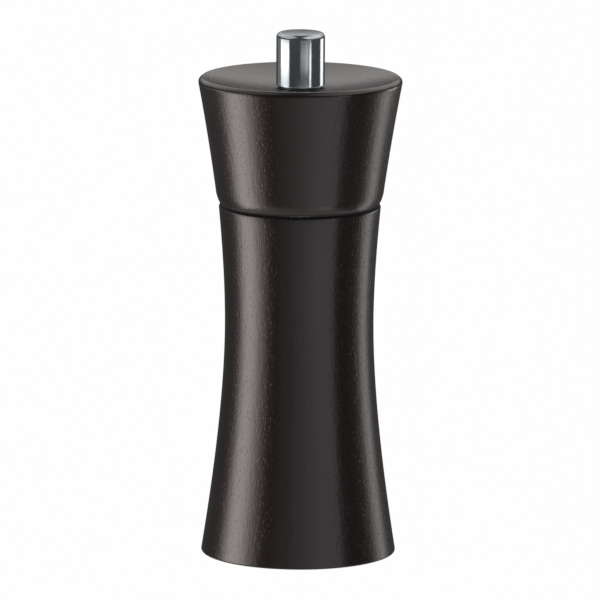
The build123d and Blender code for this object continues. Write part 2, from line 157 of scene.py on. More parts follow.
outline_curve = put(lathe, "GeometryNodeMeshToCurve", {"Mesh": given["Geometry"]})
rounded = put(lathe, "GeometryNodeFilletCurve", {"Curve": outline_curve.outputs[0]}, mode="POLY")
lathe.links.new(named(lathe, "rounding"), rounded.inputs["Radius"])
lathe.links.new(given["Fillet Steps"], rounded.inputs["Count"])
profile = put(
    lathe,
    "GeometryNodeTransform",
    {"Geometry": rounded.outputs[0], "Translation": (-guide_r, 0, 0)},
)
circle = put(
    lathe,
    "GeometryNodeCurvePrimitiveCircle",
    {"Resolution": given["Sides"], "Radius": guide_r},
)
guide = put(lathe, "GeometryNodeSetCurveNormal", {"Curve": circle.outputs[0]}, mode="Z_UP")
swept = put(
    lathe,
    "GeometryNodeCurveToMesh",
    {"Curve": guide.outputs[0], "Profile Curve": profile.outputs[0]},
)

place = put(lathe, "GeometryNodeInputPosition").outputs[0]
along = put(lathe, "ShaderNodeSeparateXYZ", {0: place}).outputs
turn = calc(lathe, "DIVIDE", calc(lathe, "ARCTAN2", along["Y"], along["X"]), 2 * math.pi)
height = calc(lathe, "DIVIDE", along["Z"], given["Thread Pitch"])
across = calc(lathe, "FRACT", calc(lathe, "SUBTRACT", height, turn))
vee = calc(lathe, "ABSOLUTE", calc(lathe, "MULTIPLY_ADD", across, 2.0, -1.0))
groove = put(lathe, "ShaderNodeClamp", {0: calc(lathe, "MULTIPLY_ADD", vee, 1.25, -0.125)})
cut = calc(lathe, "MULTIPLY", groove.outputs[0], given["Thread Depth"])
cut = calc(lathe, "MULTIPLY", calc(lathe, "MULTIPLY", cut, named(lathe, "thread")), -1.0)
level = put(lathe, "ShaderNodeCombineXYZ", {"X": along["X"], "Y": along["Y"]}).outputs[0]
outward = put(lathe, "ShaderNodeVectorMath", {0: level}, operation="NORMALIZE").outputs[0]
push = put(lathe, "ShaderNodeVectorMath", {0: outward, "Scale": cut}, operation="SCALE")
threaded = put(
    lathe,
    "GeometryNodeSetPosition",
    {"Geometry": swept.outputs[0], "Offset": push.outputs[0]},
)
closed = put(
    lathe,
    "GeometryNodeMergeByDistance",
    {"Geometry": threaded.outputs[0], "Distance": 0.0005 * mm},
)
edge_angle = put(lathe, "GeometryNodeInputMeshEdgeAngle").outputs["Unsigned Angle"]
gentle = put(lathe, "FunctionNodeCompare", {0: edge_angle, 1: given["Crease Angle"]}, operation="LESS_THAN")
shaded = put(
    lathe,
    "GeometryNodeSetShadeSmooth",
    {"Geometry": closed.outputs[0], "Shade Smooth": gentle.outputs[0]},
    domain="EDGE",
)
end_tree(lathe, shaded.outputs[0], given["Material"])
print("lathe nodes:", len(lathe.nodes))

# %% [markdown]
# ## From an outline to a finished piece
#
# An outline is a list of corners, each with its radius, its height, and if it needs them its rounding and
# its thread. It goes from the foot up the outside and down the inside, so that faces point outwards. A
# piece with a hole has a closed outline, and a solid one starts and ends on the axis.
#
# `grow` hands a mesh of such points to a tree, sets the tree's inputs by their identifiers, and keeps the
# result as a plain mesh. `stand_in` then makes the piece move with the body of the design's node, and
# lets it be shown in that node's place. A piece's material carries the name of its finish in the design's
# record.

# %% From outline to piece
def outline_mesh(corners):
    corners = [tuple(corner) + (0,) * (4 - len(corner)) for corner in reversed(corners)]
    count = len(corners)
    on_axis = corners[0][0] == 0 and corners[-1][0] == 0
    mesh = bpy.data.meshes.new("outline")
    mesh.from_pydata(
        [(r, -z, 0) for r, z, rounding, thread in corners],
        [(i, (i + 1) % count) for i in range(count - on_axis)],
        [],
    )
    for column, name in ((2, "rounding"), (3, "thread")):
        attribute = mesh.attributes.new(name, "FLOAT", "POINT")
        attribute.data.foreach_set("value", [float(corner[column]) for corner in corners])
    return mesh


def grow(name, mesh, tree, material, sizes=None):
    seed = bpy.data.objects.new(name, mesh)
    scene.collection.objects.link(seed)
    modifier = seed.modifiers.new(tree.name, "NODES")
    modifier.node_group = tree
    wanted = {**(sizes or {}), "Material": material}
    for socket in tree.interface.items_tree:
        if socket.in_out == "INPUT" and socket.name in wanted:
            modifier[socket.identifier] = wanted[socket.name]
    evaluated = seed.evaluated_get(bpy.context.evaluated_depsgraph_get())
    grown = bpy.data.meshes.new_from_object(evaluated)
    seed.modifiers.remove(modifier)
    seed.data = grown
    for spare in ("rounding", "thread"):
        if spare in grown.attributes:
            grown.attributes.remove(grown.attributes[spare])
    print(name, "faces:", len(grown.polygons))
    return seed


def stand_in(piece, node):
    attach(piece, frame["nodes"][node]["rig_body"])
    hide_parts(node)
    return piece


def turned(name, node, corners, material, sizes=None):
    return stand_in(grow(name, outline_mesh(corners), lathe, material, sizes), node)


# %% [markdown]
# ## Finishes: how each starts
#
# A finish is a Principled BSDF and a few textures that read Object coordinates. Those are metres in the
# piece's own space, so a grain has its real size on every piece and stays with it when it moves. A
# Mapping node turns metres into grains: a scale of one over the grain's size.

# %% How each finish starts
def new_finish(slot, colour, roughness, **sockets):
    material = bpy.data.materials.new(slot + "_finish")
    material["slot"] = slot
    material.use_nodes = True
    tree = material.node_tree
    shader = tree.nodes["Principled BSDF"]
    shader.inputs["Base Color"].default_value = (*colour, 1)
    shader.inputs["Roughness"].default_value = roughness
    for socket, value in sockets.items():
        shader.inputs[socket.replace("_", " ")].default_value = value
    return material, tree, shader


def grain_space(tree, across, along=None, around=None):
    coords = put(tree, "ShaderNodeTexCoord").outputs["Object"]
    size = (1 / across, 1 / (around or across), 1 / (along or across))
    return put(tree, "ShaderNodeMapping", {"Vector": coords, "Scale": size}).outputs[0]


def noise(tree, vector, detail=2.0, roughness=0.5):
    inputs = {"Vector": vector, "Scale": 1.0, "Detail": detail, "Roughness": roughness}
    return put(tree, "ShaderNodeTexNoise", inputs).outputs[0]


def spread(tree, value, low, high, to_low, to_high):
    inputs = {0: value, 1: low, 2: high, 3: to_low, 4: to_high}
    return put(tree, "ShaderNodeMapRange", inputs).outputs[0]


def bump(tree, height, distance, onto=None, strength=1.0):
    inputs = {"Height": height, "Distance": distance, "Strength": strength}
    if onto is not None:
        inputs["Normal"] = onto
    return put(tree, "ShaderNodeBump", inputs).outputs[0]


def turned_space(tree, groove):
    """Radius and height as coordinates: whatever varies over them runs round the axis in rings."""
    coords = put(tree, "ShaderNodeTexCoord").outputs["Object"]
    axes = put(tree, "ShaderNodeSeparateXYZ", {0: coords}).outputs
    squares = [calc(tree, "MULTIPLY", axes[a], axes[a]) for a in "XY"]
    radius = calc(tree, "SQRT", calc(tree, "ADD", *squares))
    rings = put(tree, "ShaderNodeCombineXYZ", {"X": radius, "Z": axes["Z"]}).outputs[0]
    return put(tree, "ShaderNodeMapping", {"Vector": rings, "Scale": (1 / groove,) * 3}).outputs[0]


# %% [markdown]
# ## Stained wood
#
# The body and head are beech or a wood like it, turned with the grain along the axis, stained almost
# black and sprayed with satin lacquer. Three things show: a dark brown that varies a little along the
# grain, pores that the stain fills, like short dashes along the grain on the sides and dots on the end
# grain of the dish, and the film of lacquer, which follows the pores and breaks up the highlight.
#
# One set of Voronoi cells, stretched along the grain, gives dashes and dots alike, because the pattern
# is solid and the lathe cuts through it. The lacquer is the shader's coat, smoother than the wood below,
# so each highlight has a bright core and a wider, warmer edge.

# %% Stained wood
wood, tree, shader = new_finish(
    "stained_wood",
    (0.012, 0.008, 0.0075),
    0.45,
    Specular_IOR_Level=0.25,
    Specular_Tint=(1.0, 0.68, 0.60, 1),
    Coat_Weight=1.0,
    Coat_Roughness=0.2,
    Coat_IOR=1.5,
)
cells = put(
    tree,
    "ShaderNodeTexVoronoi",
    {"Vector": grain_space(tree, 0.5 * mm, 1.9 * mm), "Scale": 1.0, "Randomness": 1.0},
)
pores = spread(tree, cells.outputs["Distance"], 0.3, 0.12, 0.0, 1.0)
fibres = noise(tree, grain_space(tree, 0.32 * mm, 1.2 * mm), detail=3.0)
figure = noise(tree, grain_space(tree, 7 * mm, 90 * mm), detail=3.0)
shades = put(tree, "ShaderNodeValToRGB", {"Fac": figure})
shades.color_ramp.elements[0].position = 0.3
shades.color_ramp.elements[0].color = (0.0044, 0.0031, 0.0030, 1)
shades.color_ramp.elements[1].position = 0.72
shades.color_ramp.elements[1].color = (0.0078, 0.0055, 0.0052, 1)
streaks = spread(tree, fibres, 0.3, 0.7, 0.75, 1.25)
streaked = put(
    tree,
    "ShaderNodeVectorMath",
    {0: shades.outputs[0], "Scale": streaks},
    operation="SCALE",
)
darkened = put(
    tree,
    "ShaderNodeVectorMath",
    {0: streaked.outputs[0], "Scale": spread(tree, pores, 0.0, 1.0, 1.0, 0.5)},
    operation="SCALE",
)
tree.links.new(darkened.outputs[0], shader.inputs["Base Color"])
tree.links.new(spread(tree, fibres, 0.3, 0.7, 0.38, 0.5), shader.inputs["Roughness"])
waves = noise(tree, grain_space(tree, 1.2 * mm, 5 * mm), detail=2.0)
film = bump(tree, waves, 0.034 * mm)
film = bump(tree, fibres, 0.022 * mm, onto=film)
film = bump(tree, calc(tree, "MULTIPLY", pores, -1.0), 0.016 * mm, onto=film)
tree.links.new(film, shader.inputs["Normal"])
tree.links.new(film, shader.inputs["Coat Normal"])
print("wood nodes:", len(tree.nodes))

# %% [markdown]
# ## The turned body
#
# The body flares from a waist to a wide foot and again to a narrower shoulder. Each flank is a quadratic
# curve: it leaves the waist upright, so the two meet without a kink. The inside has the steps that the
# grinder, the hopper and the head's tenon need. The heights and radii of those steps come from the
# pieces that sit there, with the small clearances that a maker leaves round them.

# %% The turned body
def curve_points(start, lean, end, steps):
    """Points along a quadratic curve, without its start."""
    points = []
    for step in range(1, steps + 1):
        t = step / steps
        points.append(
            tuple((1 - t) ** 2 * s + 2 * t * (1 - t) * b + t * t * e for s, b, e in zip(start, lean, end))
        )
    return points


ring_low, ring_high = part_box("slide_ring")
flange_low, housing_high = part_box("grinder_housing")
tenon_low, rim_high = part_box("head")
joint_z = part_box("mill_body")[1].z

base_r = 26.0 * mm
waist = (19.8 * mm, 62.0 * mm)
shoulder_r = 21.6 * mm
hopper_r = 13.0 * mm
socket_r = 15.3 * mm
housing_r = 15.96 * mm
flange_top_z = 5.0 * mm
ring_wall = 0.8 * mm
fit = 0.05 * mm
loose_fit = 0.2 * mm
break_edge = 0.25 * mm  # a turner breaks every sharp edge a little

body_outline = [(base_r, 0, 0.5 * mm)]
body_outline += curve_points((base_r, 0), (waist[0], 38.6 * mm), waist, 26)
body_outline += curve_points(waist, (waist[0], 75.2 * mm), (shoulder_r, joint_z), 14)[:-1]
body_outline += [
    (shoulder_r, joint_z, 0.8 * mm),
    (ring_high.x + fit, joint_z, 0.1 * mm),
    (ring_high.x + fit, joint_z - ring_wall),
    (socket_r + ring_wall + fit, joint_z - ring_wall),
    (socket_r + ring_wall + fit, ring_low.z),
    (socket_r, ring_low.z),
    (socket_r, tenon_low.z - 1.0 * mm, break_edge),
    (hopper_r, tenon_low.z - 1.0 * mm, break_edge),
    (hopper_r, housing_high.z, break_edge),
    (housing_r + loose_fit, housing_high.z),
    (housing_r + loose_fit, flange_top_z, break_edge),
    (housing_high.x + loose_fit, flange_top_z),
    (housing_high.x + loose_fit, 0, break_edge),
]
turned_body = turned("turned_body", "mill_body", body_outline, wood, {"Sides": 256})

# %% [markdown]
# ## The turned head
#
# The head is wider than the body and dished on top, so that the palm finds it. The dish is part of a
# large sphere, and the flank bows in very slightly. Both are worked out as arcs from their two ends and
# how far they bow. Below the joint line the head goes on as a tenon, which turns in the body's socket.

# %% The turned head
def bowed_points(start, end, bow, steps):
    """Points of a shallow arc between two ends, without the ends; a positive bow is to the right."""
    start, end = Vector(start), Vector(end)
    chord = end - start
    right = Vector((chord.y, -chord.x)).normalized()
    points = []
    for step in range(1, steps):
        t = step / steps
        points.append(tuple(start + chord * t + right * bow * 4 * t * (1 - t)))
    return points


plate_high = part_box("driver_plate")[1]
rim = (27.4 * mm, 128.4 * mm)
flank_foot = (22.25 * mm, 97.0 * mm)
foot = (21.15 * mm, joint_z + 0.25 * mm)
tenon_r = 15.0 * mm
head_bore_r = 4.2 * mm
land_r = 6.2 * mm
land_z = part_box("knob_washer")[0].z
dish_depth = 3.25 * mm
dish_radius = (rim[0] ** 2 + dish_depth**2) / (2 * dish_depth)
dish_low_z = rim[1] - dish_depth

head_outline = [
    (tenon_r, tenon_low.z, 0.8 * mm),
    (tenon_r, joint_z, break_edge),
    (ring_high.x, joint_z),
    (ring_high.x, foot[1]),
    (foot[0], foot[1], 0.2 * mm),
]
head_outline += curve_points(foot, (21.75 * mm, 95.0 * mm), flank_foot, 8)
head_outline += bowed_points(flank_foot, rim, -0.2 * mm, 14)
head_outline += [(rim[0], rim[1], 1.25 * mm)]
dish_steps = 16
for step in range(1, dish_steps):
    r = rim[0] + (land_r - rim[0]) * step / dish_steps
    head_outline.append((r, dish_low_z + dish_radius - math.sqrt(dish_radius**2 - r**2)))
head_outline += [
    (land_r, land_z, break_edge),
    (head_bore_r, land_z, break_edge),
    (head_bore_r, plate_high.z),
    (plate_high.x + loose_fit, plate_high.z),
    (plate_high.x + loose_fit, tenon_low.z, break_edge),
]
turned_head = turned("turned_head", "head", head_outline, wood, {"Sides": 256, "Fillet Steps": 8})

# %% [markdown]
# ## Polished steel and the knob
#
# The knob is a steel bar turned, drilled, threaded and polished. Its finish is nearly a mirror, so its
# look comes from what it reflects, and from rings far too fine to model that the tool leaves round it.
# Those rings are one noise read over radius and height: on the wall they lie one above the other, and on
# the flat top they lie one inside the other. The top is left with more of them than the polished wall.
# Polishing never takes out the last fine grain, which roughens the edges of each reflected band.

# %% Polished steel
steel_top, tree, shader = new_finish("knob_steel", (0.48, 0.52, 0.555), 0.18, Metallic=0.88)
rings = noise(tree, turned_space(tree, 0.09 * mm), detail=3.0, roughness=0.6)
patches = noise(tree, grain_space(tree, 2.2 * mm), detail=3.0)
facing = put(tree, "ShaderNodeNewGeometry").outputs["Normal"]
upward = put(tree, "ShaderNodeSeparateXYZ", {0: facing}).outputs["Z"]
flat_top = spread(tree, upward, 0.93, 0.995, 0.0, 1.0)
polish = spread(tree, patches, 0.3, 0.7, 0.1, 0.16)
tree.links.new(calc(tree, "MULTIPLY_ADD", flat_top, 0.08, polish), shader.inputs["Roughness"])
ringed = bump(tree, rings, 0.0012 * mm)
grainy = noise(tree, grain_space(tree, 0.25 * mm), detail=3.0)
ringed = bump(tree, grainy, 0.01 * mm, onto=ringed)
top_rings = noise(tree, turned_space(tree, 0.3 * mm), detail=2.0, roughness=0.6)
ringed = bump(tree, calc(tree, "MULTIPLY", top_rings, flat_top), 0.006 * mm, onto=ringed)
tree.links.new(ringed, shader.inputs["Normal"])
print("steel nodes:", len(tree.nodes))

# %% The knob
pitch = 0.8 * mm
thread_step = pitch / 10


def threaded_rows(r, z_from, z_to):
    """Rows close enough together to hold a thread, which fades out over its last pitch at both ends."""
    count = round(abs(z_to - z_from) / thread_step)
    rows = []
    for step in range(count + 1):
        z = z_from + (z_to - z_from) * step / count
        fade = min(abs(z - z_from), abs(z - z_to)) / pitch
        rows.append((r, z, 0, min(1.0, fade)))
    return rows


knob_low, knob_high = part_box("adjuster_knob")
washer_low, washer_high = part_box("knob_washer")
grip_low, grip_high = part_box("lock_ring")
bore_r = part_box("drive_shaft")[1].x
knob_roof_z = knob_low.z + 11.3 * mm

knob_outline = [(0, knob_roof_z + 0.6 * mm), (bore_r, knob_roof_z)]
knob_outline += threaded_rows(bore_r, knob_roof_z - 0.1 * mm, grip_high.z + 0.02 * mm)
knob_outline += [
    (bore_r, grip_high.z),
    (grip_high.x, grip_high.z),
    (grip_high.x, washer_high.z),
    (washer_high.x + 0.06 * mm, washer_high.z),
    (washer_high.x + 0.06 * mm, knob_low.z, 0.04 * mm),
    (knob_high.x, knob_low.z, 0.22 * mm),
    (knob_high.x, knob_high.z, 1.3 * mm),
    (0, knob_high.z),
]
turned_knob = turned(
    "turned_knob", "adjuster_knob", knob_outline, steel_top, {"Sides": 144, "Fillet Steps": 10}
)

# %% [markdown]
# ## Moulded plastics
#
# Four kinds of plastic are in the mill: black acetal for the housing, the rotor's core and the ring that
# the head turns on, a black washer under the knob, and natural nylon for the thrust washer and the ring
# that grips the thread. A mould is spark-eroded, so its parts have a fine even texture, and a little
# gloss where they have run in. Nylon lets some light through, so it gets some scattering below its skin.

# %% Moulded plastics
acetal, tree, shader = new_finish("black_polymer", (0.014, 0.014, 0.015), 0.42, Specular_IOR_Level=0.55)
texture = noise(tree, grain_space(tree, 0.12 * mm), detail=2.0)
flow = noise(tree, grain_space(tree, 4 * mm), detail=2.0)
tree.links.new(spread(tree, flow, 0.3, 0.7, 0.34, 0.5), shader.inputs["Roughness"])
shade = put(tree, "ShaderNodeValToRGB", {"Fac": flow})
shade.color_ramp.elements[0].color = (0.010, 0.010, 0.011, 1)
shade.color_ramp.elements[1].color = (0.019, 0.019, 0.020, 1)
tree.links.new(shade.outputs[0], shader.inputs["Base Color"])
tree.links.new(bump(tree, texture, 0.006 * mm), shader.inputs["Normal"])

nylon, tree, shader = new_finish(
    "natural_polymer",
    (0.72, 0.68, 0.58),
    0.38,
    Subsurface_Weight=0.35,
    Subsurface_Radius=(1.2, 1.0, 0.7),
    Subsurface_Scale=0.6 * mm,
)
cloud = noise(tree, grain_space(tree, 1.5 * mm), detail=3.0)
shade = put(tree, "ShaderNodeValToRGB", {"Fac": cloud})
shade.color_ramp.elements[0].color = (0.66, 0.61, 0.50, 1)
shade.color_ramp.elements[1].color = (0.78, 0.75, 0.66, 1)
tree.links.new(shade.outputs[0], shader.inputs["Base Color"])
texture = noise(tree, turned_space(tree, 0.15 * mm), detail=2.0)
tree.links.new(bump(tree, texture, 0.004 * mm), shader.inputs["Normal"])
print("plastics: acetal and nylon")

# %% [markdown]
# ## Rings and washers
#
# Six small rings are turned on the same lathe. All of them are the box of their node with a hole in it,
# so one function makes them: the outer radius and the two heights are read from the design, and only the
# hole and the roundness of the edges are given. The ring that the head turns on has a wall as well, so it
# has an outline of its own.

# %% Rings and washers
def ring(name, node, hole_r, edge, material):
    low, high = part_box(node)
    corners = [
        (hole_r, low.z, edge),
        (high.x, low.z, edge),
        (high.x, high.z, edge),
        (hole_r, high.z, edge),
    ]
    return turned(name, node, corners, material, {"Sides": 96, "Fillet Steps": 4})


steel, tree, shader = new_finish("steel", (0.56, 0.56, 0.55), 0.34, Metallic=1.0)
rolled = noise(tree, grain_space(tree, 0.08 * mm, around=3 * mm), detail=3.0)
tumbled = noise(tree, grain_space(tree, 0.9 * mm), detail=4.0)
tree.links.new(spread(tree, tumbled, 0.3, 0.7, 0.26, 0.44), shader.inputs["Roughness"])
marks = bump(tree, rolled, 0.0015 * mm)
tree.links.new(bump(tree, tumbled, 0.004 * mm, onto=marks), shader.inputs["Normal"])

edge = 0.12 * mm
knob_disc = ring("knob_disc", "knob_washer", bore_r + 0.15 * mm, edge, acetal)
grip_ring = ring("grip_ring", "lock_ring", bore_r, edge / 2, nylon)
thrust_disc = ring("thrust_disc", "thrust_washer", 3.58 * mm, edge, nylon)
spring_dish = ring("spring_dish", "spring_seat", 4.41 * mm, edge, steel)
slide_outline = [
    (socket_r, ring_low.z, edge),
    (socket_r + ring_wall, ring_low.z, edge),
    (socket_r + ring_wall, ring_high.z - ring_wall),
    (ring_high.x, ring_high.z - ring_wall, edge),
    (ring_high.x, ring_high.z, edge),
    (socket_r + ring_wall / 2, ring_high.z, edge),
    (socket_r, ring_high.z - ring_wall / 2, edge),
]
slide_liner = turned("slide_liner", "slide_ring", slide_outline, acetal, {"Sides": 160, "Fillet Steps": 4})

# %% [markdown]
# ## The square shaft
#
# The shaft is drawn aluminium bar, five millimetres square. Its top is turned round and threaded for the
# knob, and its foot is drilled and tapped. It goes on the lathe as a round bar, thread and all, and
# then the stretch that stays square is pushed out to the square's outline: at each angle, either the
# flat or the rounded corner is nearer to the axis, and that is where the surface lies.

# %% The square shaft
drawn_bar, tree, shader = new_finish("shaft_aluminium", (0.78, 0.785, 0.79), 0.3, Metallic=1.0)
draw_lines = noise(tree, grain_space(tree, 0.07 * mm, 25 * mm), detail=3.0)
scuffs = noise(tree, grain_space(tree, 1.3 * mm), detail=4.0)
tree.links.new(spread(tree, scuffs, 0.3, 0.7, 0.24, 0.38), shader.inputs["Roughness"])
tree.links.new(bump(tree, draw_lines, 0.003 * mm), shader.inputs["Normal"])

shaft_low, shaft_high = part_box("drive_shaft")
half_side = shaft_high.x
corner_r = 0.4 * mm
threaded_r = half_side - fit
square_top_z = shaft_high.z - 24.0 * mm
tap_r = 1.55 * mm
tap_depth = 9.5 * mm


def square_reach(angle):
    """How far a square with rounded corners reaches from its axis at an angle, for a half side of 1."""
    turned_from_flat = abs((angle + math.pi / 4) % (math.pi / 2) - math.pi / 4)
    round_share = corner_r / half_side
    centre = 1 - round_share
    flat = 1 / math.cos(turned_from_flat)
    toward = centre * (math.cos(turned_from_flat) + math.sin(turned_from_flat))
    corner = toward + math.sqrt(max(0.0, toward**2 - 2 * centre**2 + round_share**2))
    return min(flat, corner)


shaft_outline = [
    (0, shaft_low.z + tap_depth + 0.5 * mm),
    (tap_r, shaft_low.z + tap_depth),
    (tap_r, shaft_low.z, 0.1 * mm),
    (half_side, shaft_low.z, 0.2 * mm),
    (half_side, square_top_z - 1.0 * mm),
    (half_side, square_top_z, 0.2 * mm),
    (threaded_r, square_top_z, 0.1 * mm),
]
shaft_outline += threaded_rows(threaded_r, square_top_z + 0.6 * mm, shaft_high.z - 0.5 * mm)
shaft_outline += [(threaded_r - 0.5 * mm, shaft_high.z), (0, shaft_high.z)]
threaded_shaft = grow("threaded_shaft", outline_mesh(shaft_outline), lathe, drawn_bar, {"Sides": 96})
hair = 0.001 * mm
for vertex in threaded_shaft.data.vertices:
    x, y, z = vertex.co
    r = math.hypot(x, y)
    on_square = z < square_top_z + hair and r > threaded_r + hair
    at_foot = z < shaft_low.z + 0.5 * mm and r > tap_r + 0.3 * mm
    if on_square or at_foot:
        reach = square_reach(math.atan2(y, x))
        vertex.co = (x * reach, y * reach, z)
stand_in(threaded_shaft, "drive_shaft")

# %% [markdown]
# ## The spring
#
# The spring pushes the ceramic cone down. Its end coils are closed, so that they lie flat, and the ends
# are ground off. A helix could be drawn with the Spiral node, but that has one pitch all the way. Here a
# straight line of points is wound up instead: its height grows slowly at both ends and faster in the
# middle, wire is swept along it, and whatever passes the two end planes is pressed flat, as grinding
# leaves it.
#
# When the knob turns, the cone rises and the spring shortens. Here the spring is made in place and is
# carried by no body.

# %% The spring
spring_steel, tree, shader = new_finish("spring_steel", (0.52, 0.51, 0.49), 0.28, Metallic=1.0)
wire_marks = noise(tree, grain_space(tree, 0.25 * mm), detail=4.0)
tree.links.new(spread(tree, wire_marks, 0.3, 0.7, 0.2, 0.36), shader.inputs["Roughness"])
tree.links.new(bump(tree, wire_marks, 0.002 * mm), shader.inputs["Normal"])

spring_low, spring_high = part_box("rotor_spring")
wire_r = 0.35 * mm
coil_sizes = {
    "Turns": 4.5,
    "Coil Radius": spring_high.y - wire_r,
    "Wire Radius": wire_r,
    "Foot Height": spring_low.z,
    "Length": spring_high.z - spring_low.z,
    "End Closing": 0.45,
    "Steps": 260,
}
coil, given = new_tree("coil_spring", coil_sizes)
line = put(coil, "GeometryNodeMeshLine", {"Count": given["Steps"]})
strand = put(coil, "GeometryNodeMeshToCurve", {"Mesh": line.outputs[0]})
index = put(coil, "GeometryNodeInputIndex").outputs[0]
share = calc(coil, "DIVIDE", index, calc(coil, "SUBTRACT", given["Steps"], 1.0))
whole_turn = calc(coil, "MULTIPLY", share, 2 * math.pi)
angle = calc(coil, "MULTIPLY", whole_turn, given["Turns"])
slack = calc(coil, "DIVIDE", calc(coil, "SINE", whole_turn), 2 * math.pi)
climb = calc(coil, "SUBTRACT", share, calc(coil, "MULTIPLY", slack, given["End Closing"]))
inner_length = calc(coil, "MULTIPLY_ADD", given["Wire Radius"], -1.2, given["Length"])
first_height = calc(coil, "MULTIPLY_ADD", given["Wire Radius"], 0.6, given["Foot Height"])
wound = put(
    coil,
    "ShaderNodeCombineXYZ",
    {
        "X": calc(coil, "MULTIPLY", calc(coil, "COSINE", angle), given["Coil Radius"]),
        "Y": calc(coil, "MULTIPLY", calc(coil, "SINE", angle), given["Coil Radius"]),
        "Z": calc(coil, "MULTIPLY_ADD", climb, inner_length, first_height),
    },
)
helix = put(
    coil,
    "GeometryNodeSetPosition",
    {"Geometry": strand.outputs[0], "Position": wound.outputs[0]},
)
upright = put(coil, "GeometryNodeSetCurveNormal", {"Curve": helix.outputs[0]}, mode="Z_UP")
section = put(
    coil,
    "GeometryNodeCurvePrimitiveCircle",
    {"Resolution": 16, "Radius": given["Wire Radius"]},
)
wire = put(
    coil,
    "GeometryNodeCurveToMesh",
    {"Curve": upright.outputs[0], "Profile Curve": section.outputs[0], "Fill Caps": True},
)
spot = put(coil, "GeometryNodeInputPosition").outputs[0]
spot_axes = put(coil, "ShaderNodeSeparateXYZ", {0: spot}).outputs
top_height = calc(coil, "ADD", given["Foot Height"], given["Length"])
ground = put(
    coil,
    "ShaderNodeClamp",
    {"Value": spot_axes["Z"], "Min": given["Foot Height"], "Max": top_height},
)
flat_ended = put(coil, "ShaderNodeCombineXYZ", {"X": spot_axes["X"], "Y": spot_axes["Y"]})
coil.links.new(ground.outputs[0], flat_ended.inputs["Z"])
ground_wire = put(
    coil,
    "GeometryNodeSetPosition",
    {"Geometry": wire.outputs[0], "Position": flat_ended.outputs[0]},
)
smooth_wire = put(coil, "GeometryNodeSetShadeSmooth", {"Geometry": ground_wire.outputs[0]})
end_tree(coil, smooth_wire.outputs[0], given["Material"])
seed_mesh = bpy.data.meshes.new("spring_seed")
coil_spring = grow("coil_spring", seed_mesh, coil, spring_steel)
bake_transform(coil_spring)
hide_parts("rotor_spring")

# %% [markdown]
# ## Screws
#
# Three wood screws hold the grinder in the body, and three more hold the driver plate in the head. They
# are all the same screw: a cone-shaped head with a cross in its flat, a thread cut into a tapering
# shank, and a point. One screw is turned on the lathe, the cross is cut out of its head, and the whole is
# placed on the points of a circle. Machine screws in the mill's foot share the same cross.

# %% One screw, placed round a circle
screw_sizes = {
    "Count": 3,
    "Circle Radius": 18.36 * mm,
    "Head Height": 0.0,
    "Cross Width": 0.6 * mm,
    "Cross Length": 2.5 * mm,
    "Cross Depth": 0.7 * mm,
    "Thread Pitch": 0.9 * mm,
    "Thread Depth": 0.32 * mm,
    "First Angle": math.radians(90),
}
screws, given = new_tree("screws_on_a_circle", screw_sizes)
turned_screw = put(
    screws,
    "GeometryNodeGroup",
    node_tree=lathe,
)
screws.links.new(given["Geometry"], turned_screw.inputs["Geometry"])
screws.links.new(given["Thread Pitch"], turned_screw.inputs["Thread Pitch"])
screws.links.new(given["Thread Depth"], turned_screw.inputs["Thread Depth"])
screws.links.new(given["Material"], turned_screw.inputs["Material"])
turned_screw.inputs["Sides"].default_value = 40
turned_screw.inputs["Fillet Steps"].default_value = 2
bars = put(screws, "GeometryNodeJoinGeometry")
twice_depth = calc(screws, "MULTIPLY", given["Cross Depth"], 2.0)
for order in (("Cross Length", "Cross Width"), ("Cross Width", "Cross Length")):
    size = put(
        screws,
        "ShaderNodeCombineXYZ",
        {"X": given[order[0]], "Y": given[order[1]], "Z": twice_depth},
    )
    bar = put(screws, "GeometryNodeMeshCube", {"Size": size.outputs[0]})
    screws.links.new(bar.outputs[0], bars.inputs[0])
crossed = put(screws, "GeometryNodeMeshBoolean", operation="DIFFERENCE", solver="EXACT")
crossed.inputs["Self Intersection"].default_value = True
screws.links.new(turned_screw.outputs[0], crossed.inputs["Mesh 1"])
screws.links.new(bars.outputs[0], crossed.inputs["Mesh 2"])
which = put(screws, "GeometryNodeInputIndex").outputs[0]
share = calc(screws, "DIVIDE", which, given["Count"])
angle = calc(screws, "MULTIPLY_ADD", share, 2 * math.pi, given["First Angle"])
spot = put(
    screws,
    "ShaderNodeCombineXYZ",
    {
        "X": calc(screws, "MULTIPLY", calc(screws, "COSINE", angle), given["Circle Radius"]),
        "Y": calc(screws, "MULTIPLY", calc(screws, "SINE", angle), given["Circle Radius"]),
        "Z": given["Head Height"],
    },
)
spots = put(screws, "GeometryNodePoints", {"Count": given["Count"], "Position": spot.outputs[0]})
copies = put(
    screws,
    "GeometryNodeInstanceOnPoints",
    {"Points": spots.outputs[0], "Instance": crossed.outputs[0]},
)
end_tree(screws, copies.outputs[0], given["Material"])
print("screw nodes:", len(screws.nodes))

# %% The screws
screw_steel, tree, shader = new_finish("screw_steel", (0.60, 0.60, 0.59), 0.27, Metallic=1.0)
plated = noise(tree, grain_space(tree, 0.35 * mm), detail=4.0)
tree.links.new(spread(tree, plated, 0.3, 0.7, 0.2, 0.36), shader.inputs["Roughness"])
tree.links.new(bump(tree, plated, 0.003 * mm), shader.inputs["Normal"])

screw_r = 1.15 * mm
screw_head_r = 2.1 * mm
screw_length = 10.0 * mm
cone_depth = screw_head_r - screw_r
screw_outline = [
    (0, 0),
    (screw_head_r, 0, 0.08 * mm),
    (screw_head_r - 0.1 * mm, 0.14 * mm),
    (screw_r, cone_depth, 0.2 * mm),
]
screw_outline += threaded_rows(screw_r, cone_depth + 1.2 * mm, screw_length - 1.2 * mm)
screw_outline += [(0, screw_length)]


